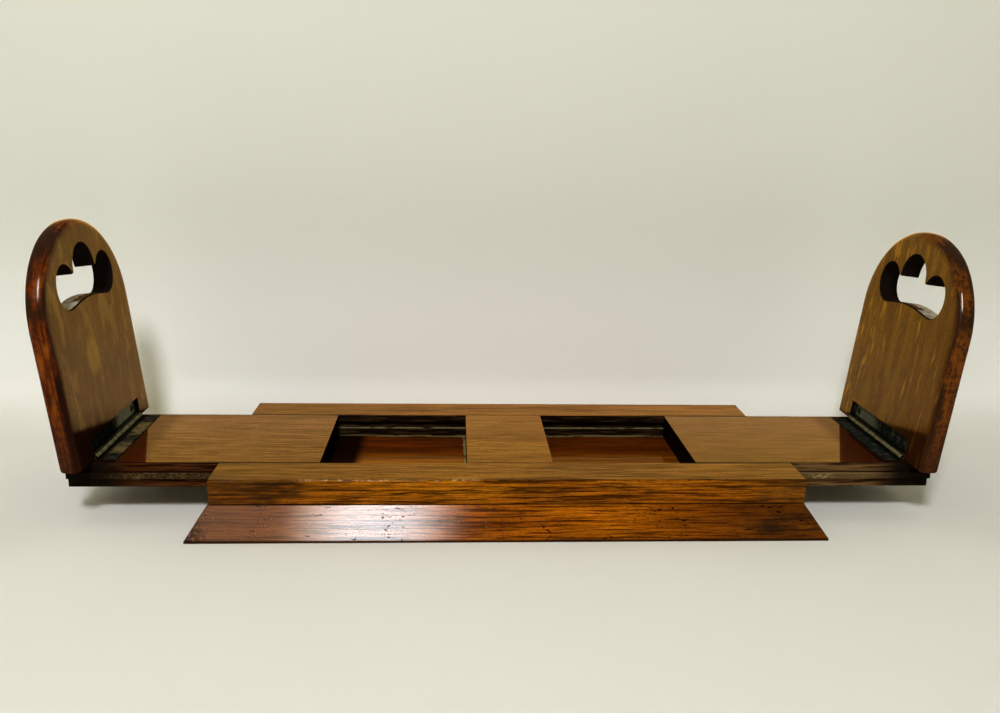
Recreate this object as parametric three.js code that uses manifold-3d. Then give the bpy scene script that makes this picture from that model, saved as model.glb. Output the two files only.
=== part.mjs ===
// Extending desk book rack: a bevelled base board with two grooved rails and a fixed
// centre block, two tongued slides that pull out, and a hinged end on each slide.
// Millimetres, +Z up, X along the rack, Y from front to back, origin under the base's middle.
import * as THREE from 'three';
import { mergeVertices } from 'three/addons/utils/BufferGeometryUtils.js';
import Module from 'manifold-3d';

const wasm = await Module();
wasm.setup();

// Frame: the two rails, and the board and block that join them
const railLength = 330;
const frameDepth = 142.8;
const railWidth = 26.6;
const railHeight = 14.6;
const railArris = 0.7;
const baseThickness = 17.2;
const baseBevelRun = 11.2;
const baseNose = 1.2;
const centreWidth = 49.8;

// Groove in each rail, and how the tongues run in it
const grooveHeight = 4;
const grooveDepth = 3.2;
const grooveUpperLip = 4.8;
const tongueGap = 0.15;
const tongueEndGap = 0.4;

// Slides: how far they are out at rest, and their running gaps
const slideTravel = 83.7;
const slideSideGap = 0.3;
const slideRunGap = 0.2;

// Folding ends
const endWidth = 123.8;
const endHeight = 132.4;
const endThickness = 12;
const endArchRise = 54;
const endEdgeRadius = 5;
const endLean = THREE.MathUtils.degToRad(6.8);
const endInnerEase = 0.8;
const endOuterEase = 3;
const endSeatGap = 0.1;

// Three-lobed hand hole through each end
const holeSideWall = 20.7;
const holeTopWall = 14.3;
const middleLobeRadius = 15.2;
const sideLobeRadius = 12.3;
const sideLobeDrop = 5.8;
const holeHumpRise = 2.9;
const humpFootShare = 0.25;
const humpCrownShare = 0.5;
const holeArris = 0.8;

// Butt hinge between each slide and its end
const pinInset = 13.4;
const pinBehindFace = 0.5;
const leafEndMargin = 4.9;
const leafWidth = 11.6;
const leafThickness = 1.5;
const barrelRadius = 2.2;
const knuckleCount = 5;
const knuckleGap = 0.3;
const barrelClearance = 0.35;
const pinRadius = 1.1;
const pinClearance = 0.1;
const leafSeatGap = 0.05;
const leafFitGap = 0.4;
const endRecessMargin = 1.2;

// Screws: three in each leaf, and those driven up through the base board
const leafScrew = { headRadius: 2.5, headHeight: 1.3, shankRadius: 1.2, length: 7, tip: 1.8 };
const baseScrew = { headRadius: 4, headHeight: 2.6, shankRadius: 2, length: 25, tip: 3 };
const screwGap = 0.1;
const screwSink = 0.1;
const screwEndDistance = 8.4;
const screwFromPin = 7.6;
const slotWidth = 0.8;
const slotDepth = 0.7;
const slotTurn = THREE.MathUtils.degToRad(50);
const railScrewInset = 35;
const blockScrewInset = 18.8;

// Stop screw under each slide, in a blind groove in the slide's underside
const stopReach = 4.2;
const stopGrooveDepth = 5;
const stopSideGap = 0.5;
const stopEndGap = 0.2;
const stopEndWall = 12;
const stopTip = 0.6;

// Facets, and how far a cut runs past the face it opens
const archSides = 24;
const edgeSteps = 4;
const lobeSides = 20;
const barrelSides = 24;
const screwSides = 16;
const overrun = 2;

// Levels and widths that follow from the sizes above
const frameTop = baseThickness + railHeight;
const slotHalf = frameDepth / 2 - railWidth;
const slideLength = (railLength - centreWidth) / 2;
const slideHalf = slotHalf - slideSideGap;
const slideBottom = baseThickness + slideRunGap;
const slideInner = centreWidth / 2 + slideTravel;
const slideOuter = slideInner + slideLength;
const grooveTop = frameTop - grooveUpperLip;
const grooveBottom = grooveTop - grooveHeight;
const tongueTip = slotHalf + grooveDepth - tongueEndGap;
const leafLength = slideHalf * 2 - leafEndMargin * 2;
const leafReveal = barrelRadius - leafThickness;
const pinX = slideOuter - pinInset;
const pinZ = frameTop + leafReveal;
const stopX = slideInner + stopEndWall + stopEndGap + baseScrew.shankRadius;

const oak = { color: 0x7b4f22, roughness: 0.32, metalness: 0 };
const darkOak = { color: 0x5a3016, roughness: 0.35, metalness: 0 };
const paleOak = { color: 0x6b4b26, roughness: 0.38, metalness: 0 };
const brass = { color: 0x6a6248, roughness: 0.42, metalness: 1 };
const oldBrass = { color: 0x3d4136, roughness: 0.5, metalness: 1 };
const steel = { color: 0x5c5a55, roughness: 0.45, metalness: 1 };

// Turns a closed geometry into a solid that can be joined and cut
function solid(geometry) {
  const shell = geometry.clone();
  shell.deleteAttribute('normal');
  shell.deleteAttribute('uv');
  const welded = mergeVertices(shell);
  const corners = welded.getIndex().array;
  const triangles = [];
  for (let i = 0; i < corners.length; i += 3) {
    const face = [...corners.slice(i, i + 3)];
    if (new Set(face).size === face.length) triangles.push(...face);
  }
  return new wasm.Manifold(new wasm.Mesh({
    numProp: 3,
    vertProperties: new Float32Array(welded.getAttribute('position').array),
    triVerts: new Uint32Array(triangles),
  }));
}

function toMesh(name, body, look) {
  const made = body.getMesh();
  const geometry = new THREE.BufferGeometry();
  geometry.setAttribute('position', new THREE.BufferAttribute(new Float32Array(made.vertProperties), 3));
  geometry.setIndex(new THREE.BufferAttribute(new Uint32Array(made.triVerts), 1));
  geometry.computeVertexNormals();
  const mesh = new THREE.Mesh(geometry, new THREE.MeshStandardMaterial(look));
  mesh.name = name;
  return mesh;
}

function block(x0, x1, y0, y1, z0, z1) {
  const box = new THREE.BoxGeometry(x1 - x0, y1 - y0, z1 - z0);
  return solid(box.translate((x0 + x1) / 2, (y0 + y1) / 2, (z0 + z1) / 2));
}

// A round bar along Y
function bar(radius, y0, y1, sides, x = 0, z = 0) {
  const rod = new THREE.CylinderGeometry(radius, radius, y1 - y0, sides);
  return solid(rod.translate(x, (y0 + y1) / 2, z));
}

// A profile drawn in Y and Z, run along X from x0 to x1
function runAlongX(shape, x0, x1, options = {}) {
  const run = new THREE.ExtrudeGeometry(shape, { depth: x1 - x0, bevelEnabled: false, ...options });
  const turn = new THREE.Matrix4().makeBasis(
    new THREE.Vector3(0, 1, 0),
    new THREE.Vector3(0, 0, 1),
    new THREE.Vector3(1, 0, 0),
  );
  return solid(run.applyMatrix4(turn).translate(x0, 0, 0));
}

// A profile drawn in X and Z, run along Y, centred
function runAlongY(shape, width) {
  const run = new THREE.ExtrudeGeometry(shape, { depth: width, bevelEnabled: false });
  return solid(run.rotateX(Math.PI / 2).translate(0, width / 2, 0));
}

function outline(points) {
  return new THREE.Shape(points.map(([a, b]) => new THREE.Vector2(a, b)));
}

// A countersunk screw, head up at the origin and point down; a gap makes it the screw's hole
function screwBody(size, gap = 0) {
  const shank = size.shankRadius + gap;
  const head = size.headRadius + gap;
  const end = size.length + gap;
  const profile = [[0, -end], [shank, size.tip - end], [shank, -size.headHeight], [head, 0]];
  if (gap > 0) profile.push([head, overrun], [0, overrun]);
  else profile.push([0, 0]);
  const points = profile.map(([r, z]) => new THREE.Vector2(r, z));
  return solid(new THREE.LatheGeometry(points, screwSides).rotateX(Math.PI / 2));
}

// The head's slot, turned to its own angle
function screw(size, turn) {
  const reach = size.headRadius + overrun;
  const slot = block(-reach, reach, -slotWidth / 2, slotWidth / 2, -slotDepth, overrun);
  return screwBody(size).subtract(slot.rotate([0, 0, THREE.MathUtils.radToDeg(turn)]));
}

// Base board: all four sides slope out from the frame to a narrow upright nose
function baseBoard() {
  const section = (half) => outline([
    [-half - baseBevelRun, 0],
    [half + baseBevelRun, 0],
    [half + baseBevelRun, baseNose],
    [half, baseThickness],
    [-half, baseThickness],
    [-half - baseBevelRun, baseNose],
  ]);
  const length = railLength / 2;
  const depth = frameDepth / 2;
  const lengthwise = runAlongX(section(depth), -length - baseBevelRun, length + baseBevelRun);
  const crosswise = runAlongY(section(length), (depth + baseBevelRun) * 2);
  return baseScrewPlaces().reduce(
    (board, at) => board.subtract(baseScrewHole(at)),
    lengthwise.intersect(crosswise),
  );
}

// Rail section for the back: its inner face, with the groove, looks to the front
function rail(side) {
  const inner = slotHalf;
  const outer = frameDepth / 2;
  const floor = inner + grooveDepth;
  const section = outline([
    [inner, baseThickness],
    [outer, baseThickness],
    [outer, frameTop - railArris],
    [outer - railArris, frameTop],
    [inner, frameTop],
    [inner, grooveTop],
    [floor, grooveTop],
    [floor, grooveBottom],
    [inner, grooveBottom],
  ]);
  const length = runAlongX(section, -railLength / 2, railLength / 2);
  const placed = side < 0 ? length.rotate([0, 0, 180 * side]) : length;
  return baseScrewPlaces().reduce((piece, at) => piece.subtract(baseScrewHole(at)), placed);
}

// Section shared by the slides and the block, with a tongue on each side
function tonguedSection(half, bottom) {
  const tongueTop = grooveTop - tongueGap;
  const tongueBottom = grooveBottom + tongueGap;
  const right = [
    [half, bottom],
    [half, tongueBottom],
    [tongueTip, tongueBottom],
    [tongueTip, tongueTop],
    [half, tongueTop],
    [half, frameTop],
  ];
  const left = right.map(([y, z]) => [-y, z]).reverse();
  return outline([...right, ...left]);
}

function centreBlock() {
  const section = tonguedSection(slotHalf, baseThickness);
  const whole = runAlongX(section, -centreWidth / 2, centreWidth / 2);
  return baseScrewPlaces().reduce((piece, at) => piece.subtract(baseScrewHole(at)), whole);
}

// Where screws come up through the base board, each with what it holds
function baseScrewPlaces() {
  const railY = slotHalf + railWidth / 2;
  const railX = railLength / 2 - railScrewInset;
  const places = [];
  for (const [row, y] of [['front_rail', -railY], ['back_rail', railY]]) {
    for (const [spot, x] of [['left', -railX], ['middle', 0], ['right', railX]]) {
      places.push({ name: `${row}_screw_${spot}`, x, y, size: baseScrew });
    }
  }
  const blockY = slotHalf - blockScrewInset;
  for (const [spot, y] of [['front', -blockY], ['back', blockY]]) {
    places.push({ name: `centre_block_screw_${spot}`, x: 0, y, size: baseScrew });
  }
  const reach = baseThickness + stopReach - screwSink;
  const stop = { ...baseScrew, length: reach, tip: stopTip };
  for (const [spot, x] of [['left', -stopX], ['right', stopX]]) {
    places.push({ name: `${spot}_stop_screw`, x, y: 0, size: stop });
  }
  return places;
}

function baseScrewHole(at) {
  return screwBody(at.size, screwGap).rotate([180, 0, 0]).translate([at.x, at.y, screwSink]);
}

function baseScrewMeshes() {
  return baseScrewPlaces().map((at, i) => {
    const body = screw(at.size, slotTurn * i).rotate([180, 0, 0]);
    return toMesh(at.name, body.translate([at.x, at.y, screwSink]), steel);
  });
}

// Slide, seen on the right-hand side: hinge recess on top, stop groove underneath
function slide() {
  const board = runAlongX(tonguedSection(slideHalf, slideBottom), slideInner, slideOuter);
  const recessHalf = leafLength / 2 + leafFitGap;
  const recessFloor = frameTop - leafThickness - leafSeatGap;
  const recessInner = pinX - leafWidth - leafFitGap;
  const recess = block(recessInner, pinX, -recessHalf, recessHalf, recessFloor, frameTop + overrun);
  const trough = bar(barrelRadius + barrelClearance, -recessHalf, recessHalf, barrelSides, pinX, pinZ);
  const cut = board.subtract(recess).subtract(trough).subtract(stopGroove());
  return leafScrewPlaces().reduce((piece, y) => {
    const hole = screwBody(leafScrew, screwGap).translate([pinX - screwFromPin, y, frameTop - screwSink]);
    return piece.subtract(hole);
  }, cut);
}

function stopGroove() {
  const half = baseScrew.shankRadius + stopSideGap;
  const start = slideInner + stopEndWall + half;
  const end = stopX + slideTravel + baseScrew.shankRadius + stopEndGap - half;
  const shape = new THREE.Shape();
  shape.absarc(start, 0, half, Math.PI / 2, -Math.PI / 2, false);
  shape.absarc(end, 0, half, -Math.PI / 2, Math.PI / 2, false);
  const depth = stopGrooveDepth + overrun;
  const groove = new THREE.ExtrudeGeometry(shape, { depth, bevelEnabled: false, curveSegments: screwSides });
  return solid(groove.translate(0, 0, slideBottom - overrun));
}

// Places of a leaf's screws along the barrel
function leafScrewPlaces() {
  const last = leafLength / 2 - screwEndDistance;
  return [-last, 0, last];
}

// The end in its own frame: barrel axis at the origin, X out through the board, Z up it
function endBoard() {
  const inner = -pinBehindFace;
  const outer = inner + endThickness;
  const edge = Math.min(endEdgeRadius, endThickness / 2 - endSeatGap);
  const seat = -leafReveal + endSeatGap;
  const top = endHeight - leafReveal;
  const low = seat - endThickness - overrun;
  const arch = new THREE.Shape();
  arch.moveTo(-endWidth / 2, low);
  arch.lineTo(endWidth / 2, low);
  arch.lineTo(endWidth / 2, top - endArchRise);
  arch.absellipse(0, top - endArchRise, endWidth / 2, endArchRise, 0, Math.PI, false);
  const board = runAlongX(arch, inner + edge, outer - edge, {
    curveSegments: archSides,
    bevelEnabled: true,
    bevelThickness: edge,
    bevelSize: edge,
    bevelOffset: -edge,
    bevelSegments: edgeSteps,
  });
  const shaped = board.intersect(endSideProfile(inner, outer, seat, top));
  const hollow = shaped.subtract(handHole(inner, outer, top)).subtract(endRecess(inner, seat));
  return leafScrewPlaces().reduce((piece, y) => {
    const hole = screwBody(leafScrew, screwGap).rotate([0, -90, 0]);
    return piece.subtract(hole.translate([leafReveal + screwSink, y, screwFromPin]));
  }, hollow);
}

// Side view of the end: a foot cut level with the slide's top, its two arrises eased
function endSideProfile(inner, outer, seat, top) {
  const foot = (x) => (seat + x * Math.sin(endLean)) / Math.cos(endLean);
  const side = new THREE.Shape();
  side.moveTo(inner, foot(inner) + endInnerEase);
  side.lineTo(inner + endInnerEase, foot(inner + endInnerEase));
  side.lineTo(outer - endOuterEase, foot(outer - endOuterEase));
  side.quadraticCurveTo(outer, foot(outer), outer, foot(outer) + endOuterEase);
  side.lineTo(outer, top + overrun);
  side.lineTo(inner, top + overrun);
  return runAlongY(side, endWidth + overrun * 2);
}

// Hand hole: a middle lobe above two side lobes, over a floor that swells to a low hump
function handHole(inner, outer, top) {
  const sideY = endWidth / 2 - holeSideWall - sideLobeRadius;
  const middleZ = top - holeTopWall - middleLobeRadius;
  const sideZ = middleZ - sideLobeDrop;
  const pit = sideZ - sideLobeRadius;
  const crown = pit + holeHumpRise;
  const lobe = (radius, y, z) => {
    const disc = new THREE.Shape();
    disc.absarc(y, z, radius, 0, Math.PI * 2, false);
    return disc;
  };
  const footY = sideY * (1 - humpFootShare);
  const crownY = sideY * humpCrownShare;
  const bridge = new THREE.Shape();
  bridge.moveTo(-sideY, middleZ);
  bridge.lineTo(-sideY, pit);
  bridge.bezierCurveTo(-footY, pit, -crownY, crown, 0, crown);
  bridge.bezierCurveTo(crownY, crown, footY, pit, sideY, pit);
  bridge.lineTo(sideY, middleZ);
  const openings = [
    lobe(middleLobeRadius, 0, middleZ),
    lobe(sideLobeRadius, -sideY, sideZ),
    lobe(sideLobeRadius, sideY, sideZ),
    bridge,
  ];
  const options = {
    curveSegments: lobeSides,
    bevelEnabled: true,
    bevelThickness: holeArris,
    bevelSize: holeArris,
    bevelSegments: 1,
  };
  const plain = { curveSegments: lobeSides };
  const through = openings.map((shape) => runAlongX(shape, inner - overrun, outer + overrun, plain));
  const flare = openings.map((shape) => runAlongX(shape, outer, outer + overrun, options));
  const mouth = openings.map((shape) => runAlongX(shape, inner - overrun, inner, options));
  return [...through, ...flare, ...mouth].reduce((all, piece) => all.add(piece));
}

// Hinge recess in the end's inner face, open at the foot, with a trough for the barrel
function endRecess(inner, seat) {
  const half = leafLength / 2 + endRecessMargin;
  const floor = barrelRadius + leafSeatGap;
  const pocket = block(inner - overrun, floor, -half, half, seat - overrun, leafWidth + leafFitGap);
  return pocket.add(bar(barrelRadius + barrelClearance, -half, half, barrelSides));
}

// Hinge leaf: plate to +X with its face below the barrel's axis, and its share of the knuckles
function hingeLeaf(first) {
  const half = leafLength / 2;
  const pitch = leafLength / knuckleCount;
  const plateStart = barrelRadius + barrelClearance;
  let leaf = block(plateStart, leafWidth, -half, half, -barrelRadius, -leafReveal);
  for (let i = first; i < knuckleCount; i += 2) {
    const y0 = -half + pitch * i + (i > 0 ? knuckleGap / 2 : 0);
    const y1 = -half + pitch * (i + 1) - (i < knuckleCount - 1 ? knuckleGap / 2 : 0);
    const arm = block(0, plateStart + overrun, y0, y1, -barrelRadius, -leafReveal);
    leaf = leaf.add(bar(barrelRadius, y0, y1, barrelSides)).add(arm);
  }
  const bore = bar(pinRadius + pinClearance, -half - overrun, half + overrun, barrelSides);
  return leafScrewPlaces().reduce((piece, y) => {
    const hole = screwBody(leafScrew, screwGap).translate([screwFromPin, y, -leafReveal - screwSink]);
    return piece.subtract(hole);
  }, leaf.subtract(bore));
}

// A leaf's screws, named by where they lie once the leaf is in place
function leafScrewMeshes(prefix, turnedRound) {
  const spots = ['front', 'middle', 'back'];
  if (turnedRound) spots.reverse();
  return leafScrewPlaces().map((y, i) => {
    const name = `${prefix}_screw_${spots[i]}`;
    const mesh = toMesh(name, screw(leafScrew, slotTurn * (i + 1)), brass);
    mesh.position.set(screwFromPin, y, -leafReveal - screwSink);
    return mesh;
  });
}

// One pull-out half, built for the right-hand side and turned round for the left
function slideHalfGroup(name) {
  const half = new THREE.Group();
  half.add(toMesh(`${name}_slide`, slide(), oak));

  const slideLeaf = new THREE.Group();
  slideLeaf.position.set(pinX, 0, pinZ);
  slideLeaf.rotation.z = Math.PI;
  slideLeaf.add(toMesh(`${name}_slide_leaf`, hingeLeaf(0), oldBrass));
  slideLeaf.add(...leafScrewMeshes(`${name}_slide_leaf`, name === 'right'));
  const pin = bar(pinRadius, -leafLength / 2, leafLength / 2, barrelSides);
  slideLeaf.add(toMesh(`${name}_hinge_pin`, pin, brass));
  half.add(slideLeaf);

  const end = new THREE.Group();
  end.position.set(pinX, 0, pinZ);
  end.rotation.y = endLean;
  end.add(toMesh(`${name}_end`, endBoard(), paleOak));
  const endLeaf = new THREE.Group();
  endLeaf.rotation.y = -Math.PI / 2;
  endLeaf.add(toMesh(`${name}_end_leaf`, hingeLeaf(1), oldBrass));
  endLeaf.add(...leafScrewMeshes(`${name}_end_leaf`, name === 'left'));
  end.add(endLeaf);
  half.add(end);
  return half;
}

const rack = new THREE.Group();
rack.name = 'book_rack';
rack.add(toMesh('base_board', baseBoard(), darkOak));
rack.add(toMesh('front_rail', rail(-1), oak));
rack.add(toMesh('back_rail', rail(1), oak));
rack.add(toMesh('centre_block', centreBlock(), oak));
rack.add(...baseScrewMeshes());

const rightHalf = slideHalfGroup('right');
const leftHalf = slideHalfGroup('left');
leftHalf.rotation.z = Math.PI;
rack.add(rightHalf, leftHalf);

export default rack;
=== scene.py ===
# Looks of the desk book rack: French-polished oak, dark old brass, a pale paper sweep.
# Metres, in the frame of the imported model. Colours are linear.
import math

import bpy
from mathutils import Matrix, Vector

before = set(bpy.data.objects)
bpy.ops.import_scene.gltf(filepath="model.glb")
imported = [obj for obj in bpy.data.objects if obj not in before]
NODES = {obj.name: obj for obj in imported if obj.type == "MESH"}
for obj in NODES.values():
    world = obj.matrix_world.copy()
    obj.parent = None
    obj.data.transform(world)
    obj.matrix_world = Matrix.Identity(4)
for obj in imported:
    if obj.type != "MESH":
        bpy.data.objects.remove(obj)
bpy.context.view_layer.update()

# Places on the rack that the dirt and wear follow
FRAME_TOP = 0.0318
BASE_TOP = 0.0172
SLOT_HALF = 0.0448
RAIL_OUTER = 0.0714
BLOCK_HALF = 0.0249
GROOVE_LIP = 0.0230
HOLE_MIDDLE = 0.1328
PIN_OUT = 0.2353
PIN_UP = 0.0325
PIN_REACH = 0.0022
END_HALF = 0.0619
SHOULDER = 0.1097
ARCH_RISE = 0.0536
ARCH_RUN = 0.058
LEAN_SLOPE = 0.1192

# Meshes
EDGE_ROUND = 0.00035
JOIN_REACH = 0.000002
SHARP_TURN = math.radians(30)

# Camera, fitted to the photo
CAMERA_PLACE = (-0.03233, -0.56304, 0.22630)
CAMERA_TURN = (76.306, -1.302, -3.442)
CAMERA_LENS = 34.414
CAMERA_SENSOR = 36
CAMERA_SHIFT = (-0.01593, -0.00826)
CAMERA_NEAR = 0.01

# Paper sweep: its shape, its colours up the wall with painted light at its foot, and its painted
# glow in the polish
PAPER_WALL_Y = 0.130
PAPER_COVE = 0.036
PAPER_SIDE = 2.4
PAPER_FRONT = -2.4
PAPER_HEIGHT = 1.3
COVE_STEPS = 16
PAPER_FOOT_RISE = (0.0, 0.030)
PAPER_RISE = (0.045, 0.170)
PAPER_FLOOR_COLOUR = (0.80, 0.805, 0.77)
PAPER_LIT_FOOT_COLOUR = (0.98, 1.0, 0.99)
PAPER_WALL_COLOUR = (0.775, 0.795, 0.745)
PAPER_GREY = (0.5, 0.5, 0.5)
PAPER_GREY_PATTERN = 6.0, 3.0, 0.3, 0.7
PAPER_GREY_SHARE = 0.03
PAPER_GLOW_LOW = (1.75, 0.94, 0.31)
PAPER_GLOW_HIGH = (1.75, 0.91, 0.18)
PAPER_GLOW_RISE = (0.045, 0.100)
PAPER_DIM = (0.11, 0.075, 0.05)
GLOW_FOOT = (0.004, 0.030)
GLOW_SIDE = (0.37, 0.31)
GLOW_TOP = (0.24, 0.15)

# Room light and lamps
WORLD_LIGHT = (0.235, 0.202, 0.095)
WORLD_IN_GLOSS = (0.092, 0.058, 0.033)
WORLD_SEEN = (0.66, 0.66, 0.60)
KEY_PLACE = (-0.188, -1.070, 1.150)
KEY_AIM = (-0.05, -0.02, 0.03)
KEY_SIZE = 0.27
KEY_POWER = 14.2
KEY_COLOUR = (1.0, 0.985, 1.0)
FILL_PLACE = (-1.15, -1.05, 1.25)
FILL_AIM = (0.0, 0.0, 0.05)
FILL_SIZE = 1.1
FILL_POWER = 2.2
FILL_COLOUR = (1.0, 0.93, 0.68)

# Windows that only the polish sees: half width, reach down and up, strength, colour, rim colour
WINDOW_PLACE = (-0.198, -1.118, 1.083)
WINDOW = 0.20, 0.20, 0.48, 29.0, (0.84, 0.94, 1.0), (1.0, 0.88, 0.74)
SIDE_PLACE = (-0.75, -1.25, 1.15)
SIDE_WINDOW = 0.55, 0.55, 0.55, 0.65, (1.0, 0.88, 0.70), (1.0, 0.88, 0.70)
WINDOW_FADE = 0.12
WINDOW_HEAD_FADE = 0.8
WINDOW_RIM = (0.3, 0.8)

# How to read the numbers below. A PATTERN is a noise's stretch per metre and detail, then the
# limits of its step. A ZONE is a reach and the width over which it fades. TONES are two colours
# that a noise blends. A colour with a number is a stain and how far it covers. A SHARE pair is
# for the left and the right half, a BUMP is a distance and a strength, an OVAL is a centre, two
# half sizes and a softness. The other pairs of numbers are the limits of a smooth step.
FACING = (0.5, 0.9)
FACING_AWAY = (-0.5, -0.9)
HALF_APART = 0.1
NOISE_MIDDLE = 0.5

# Oak grain: stretch along, across and through the board, detail
WANDER = 17.0, 40.0, 40.0, 3.0
BANDS = 7.0, 130.0, 150.0, 2.0
LINES = 30.0, 1080.0, 1000.0, 2.0
HAIR = 60.0, 1500.0, 1900.0, 1.0
DASHES = 420.0, 1500.0, 2600.0, 1.0
PORES = 170.0, 1700.0, 2600.0, 1.0
BLOTS = 9.0, 24.0, 24.0, 3.0
SWELLS = 30.0, 120.0, 120.0, 1.0
SEED_SHIFT = (0.37, 0.21, 0.53)
DRIFT_ACROSS = 0.0030
DRIFT_THROUGH = 0.7
DEEP = 0.20
BRIGHT = 1.5
TOP_CALM = 0.2
BAND_STEP = (0.40, 0.62)
BRIGHT_STEP = (0.47, 0.39)
BRIGHT_SHARE = 0.6
DARK_STEP = (0.53, 0.60)
DARK_SHARE = 0.85
HAIR_STEP = (0.50, 0.68)
HAIR_SHARE = 0.5
PORE_STEP = (0.62, 0.70)
PORE_SHARE = 0.4
DASH_STEP = (0.35, 0.65)
DASH_RANGE = (0.82, 1.18)
BLOT_STEP = (0.42, 0.70)
BLOT_TINT = (0.75, 0.62, 0.55)
FLECK_ALONG = 50.0
FLECK_ACROSS = 310.0
FLECK_SWAY_NOISE = 110.0
FLECK_SWAY = 0.0050
FLECK_STEP = (0.60, 0.66)
FLECK_AREA_PATTERN = 26.0, 2.0, 0.42, 0.56
FLECK_LIGHT = 2.2
END_GRAIN_FACING = (0.75, 0.95)
END_GRAIN_SHARE = 0.75
VEIL_STEP = (0.42, 0.60)
ROUGH_STEP = (0.3, 0.7)
OAK_ROUGH = (0.36, 0.52)
PORE_DEPTH = -0.8
LINE_DEPTH = -0.6
WOOD_BUMP = (0.00006, 0.7)
POLISH_BUMP = (0.00004, 0.5)
POLISH_IOR = 1.5

# Rails
RAIL_TOP = (FRAME_TOP - 0.0006, FRAME_TOP - 0.0002)
RAIL_INNER = (SLOT_HALF + 0.0040, SLOT_HALF + 0.0034)
RAIL_OUTER_TINT = (1.95, 1.80, 0.6)
SOOT_LEFT = (-0.060, -0.160)
SOOT_RIGHT = (0.128, 0.162)
SOOT = (0.030, 0.013, 0.003), 0.45
SMOKE_PATTERN = (26.0, 26.0, 420.0), 3.0, 0.54, 0.66
SMOKE = (0.022, 0.009, 0.002), 0.45
SPOT_ZONE = (-0.134, -0.120, 0.012)
SPOT_PATTERN = (90.0, 90.0, 260.0), 2.0, 0.42, 0.56
SPOT = (0.016, 0.007, 0.002), 0.55
DIRT_GRAIN = (60.0, 1100.0, 1100.0)
DIRT_STEP = (0.48, 0.66)
DIRT_TONES = (0.006, 0.003, 0.0015), (0.044, 0.022, 0.008)
DIRT_RAGGED = -0.0012
LIP_UP = (0.0007, 0.0003)
LIP_IN = (SLOT_HALF + 0.0016, SLOT_HALF + 0.0008)
RAIL_FOOT = (BASE_TOP + 0.0003, BASE_TOP - 0.0001)
BROKEN_PATTERN = (55.0, 90.0, 90.0), 3.0, 0.40, 0.50
RAIL_DUST = (0.19, 0.16, 0.075), 0.85
RAIL_JOINT_IN = (SLOT_HALF + 0.0022, SLOT_HALF + 0.0010)
RAIL_JOINT_OUT = (0.085, 0.100)
RAIL_JOINT = (0.012, 0.003, 0.001), 0.85
RAIL_ENDS = (0.120, 0.166)
GRUBBY_PATTERN = (40.0, 120.0, 120.0), 3.0, 0.38, 0.62
GRUBBY = (0.050, 0.024, 0.006), 0.5
DULL_LEFT = (-0.050, -0.135)
DULL = (0.060, 0.030, 0.008), 0.30
ARRIS_OUT = (RAIL_OUTER - 0.0013, RAIL_OUTER - 0.0008)
ARRIS_UP = (FRAME_TOP - 0.0008, FRAME_TOP - 0.0004)
ARRIS_GLINT_PATTERN = (420.0, 900.0, 900.0), 2.0, 0.53, 0.58
ARRIS_GLINT_ZONE = (-0.105, -0.030, 0.020)
ARRIS_GLINT = (0.42, 0.32, 0.20), 0.8
CHIPPED_PATTERN = (150.0, 900.0, 900.0), 2.0, 0.55, 0.60
CHIPPED = (0.014, 0.006, 0.002), 0.8
RAIL_SHADE_UP = (BASE_TOP + 0.0012, BASE_TOP + 0.0005)
RAIL_SHADE = (0.010, 0.003, 0.001), 0.92
RAIL_BARE_ROUGH = 0.75
RAIL_BARE_LOSS = 0.95
RAIL_DULL_LOSS = 0.15

# Slides
SLIDE_SIDE = (SLOT_HALF - 0.0005, SLOT_HALF - 0.00035)
TONGUE_SIDE = (SLOT_HALF + 0.0014, SLOT_HALF + 0.0018)
RIGHT_SLIDE = (0.020, 0.060)
FLANK_GRAIN = (50.0, 950.0, 950.0)
FLANK_STEP = (0.40, 0.62)
FLANK_TONES = (0.075, 0.024, 0.007), (0.012, 0.004, 0.0015)
PALE_FLANK_STEP = (0.38, 0.62)
PALE_FLANK_TONES = (0.21, 0.120, 0.044), (0.040, 0.018, 0.007)
PALE_FLANK_SHARE = 0.7
TONGUE_PATTERN = (700.0, 1500.0, 1500.0), 3.0, 0.45, 0.68
TONGUE_TONES = (0.030, 0.017, 0.006), (0.105, 0.068, 0.030)
PALE_TONGUE = (0.155, 0.095, 0.038), 0.5
CHALK_PATTERN = (500.0, 1400.0, 1400.0), 3.0, 0.50, 0.60
CHALK_ZONE = (0.178, 0.186, 0.006)
CHALK = (0.40, 0.29, 0.12), 0.7
TONGUE_ARRIS = (GROOVE_LIP + 0.0032, GROOVE_LIP + 0.0036)
TONGUE_HIGHLIGHT = (0.30, 0.20, 0.085), 0.7
RIM_FACING = (0.97, 0.90)
RIM_UP = (FRAME_TOP - 0.0010, FRAME_TOP - 0.0006)
LEAF_SEAT_ZONE = (PIN_OUT - 0.0126, PIN_OUT, 0.0002)
LEAF_SEAT_HALF = (0.0410, 0.0408)
LEAF_SEAT_UP = (FRAME_TOP - 0.0040, FRAME_TOP - 0.0030)
BEFORE_SEAT = (PIN_OUT - 0.0140, PIN_OUT - 0.0120)
BEFORE_SEAT_HALF = (0.0396, 0.0402)
BEFORE_SEAT_SHARE = 0.9
UPWARD = (0.1, 0.4)
SEAT_SHADE_AND_GRIME = (0.004, 0.003, 0.002), 0.97
END_FACE_FACING = (0.6, 0.9)
END_FACE = (0.003, 0.0015, 0.001), 1.0
TIP_OUT = (0.208, 0.232)
TIP = (0.008, 0.005, 0.003), 1.0
SLIDE_JOINT_IN = (SLOT_HALF - 0.0018, SLOT_HALF - 0.0008)
SLIDE_JOINT_OUT = (0.060, 0.090)
SLIDE_JOINT = (0.010, 0.003, 0.001), 0.8
NEAR_HINGE_OUT = (0.204, 0.215)
HINGE_DARK_REFLECTION = (0.018, 0.002, 0.0005), 0.3
BY_LEAF_OUT = (PIN_OUT - 0.0180, PIN_OUT - 0.0130)
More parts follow.
